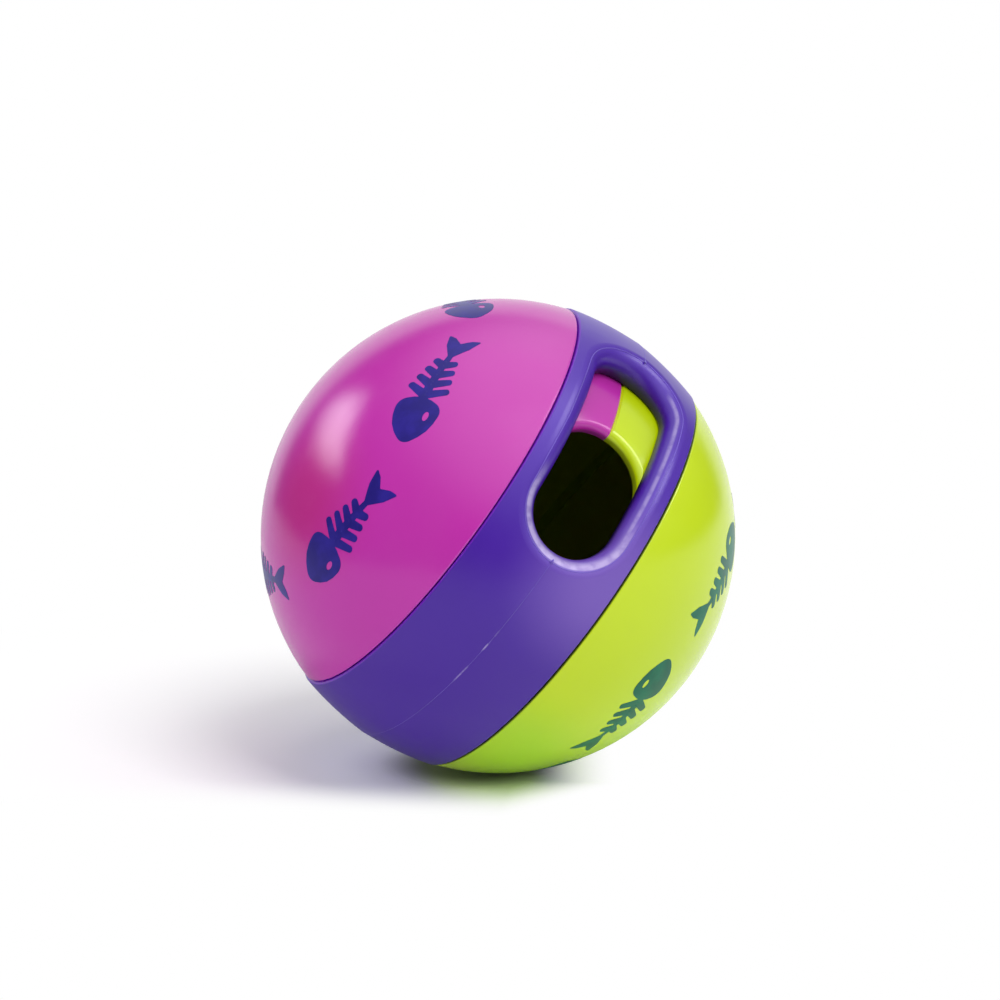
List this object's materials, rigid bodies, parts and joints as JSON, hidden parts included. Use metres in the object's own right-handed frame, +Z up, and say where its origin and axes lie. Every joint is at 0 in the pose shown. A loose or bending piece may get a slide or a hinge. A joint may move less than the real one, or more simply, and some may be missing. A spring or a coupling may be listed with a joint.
{
  "type": "treat dispensing ball",
  "caption": "Hollow round pet toy of two snapped half shells with a turning band whose window opens or shuts a treat hole.",
  "frame": {"origin": "centre of the ball", "axes": "+Z up from the floor as the ball lies in the picture; the ball's own axis, from the lower to the upper half, leans 53 degrees from +Z towards -X; the treat hole faces -Y"},
  "size_m": [0.075, 0.0752, 0.075],
  "materials": {
    "lime_shell": "gloss",
    "pink_shell": "gloss",
    "purple_band": "satin"
  },
  "bodies": {
    "lower_half": {"lower_half_shell": "lime_shell"},
    "upper_half": {"upper_half_shell": "pink_shell"},
    "band": {"adjuster_band": "purple_band"}
  },
  "joints": [
    {"name": "band_turn", "type": "hinge", "parent": "lower_half", "child": "band", "pos_m": [0, 0, 0], "axis": [-0.7986, 0, 0.6018], "continuous": true},
    {"name": "half_pull", "type": "slide", "parent": "lower_half", "child": "upper_half", "axis": [-0.7986, 0, 0.6018], "range_m": [0, 0.048]}
  ]
}
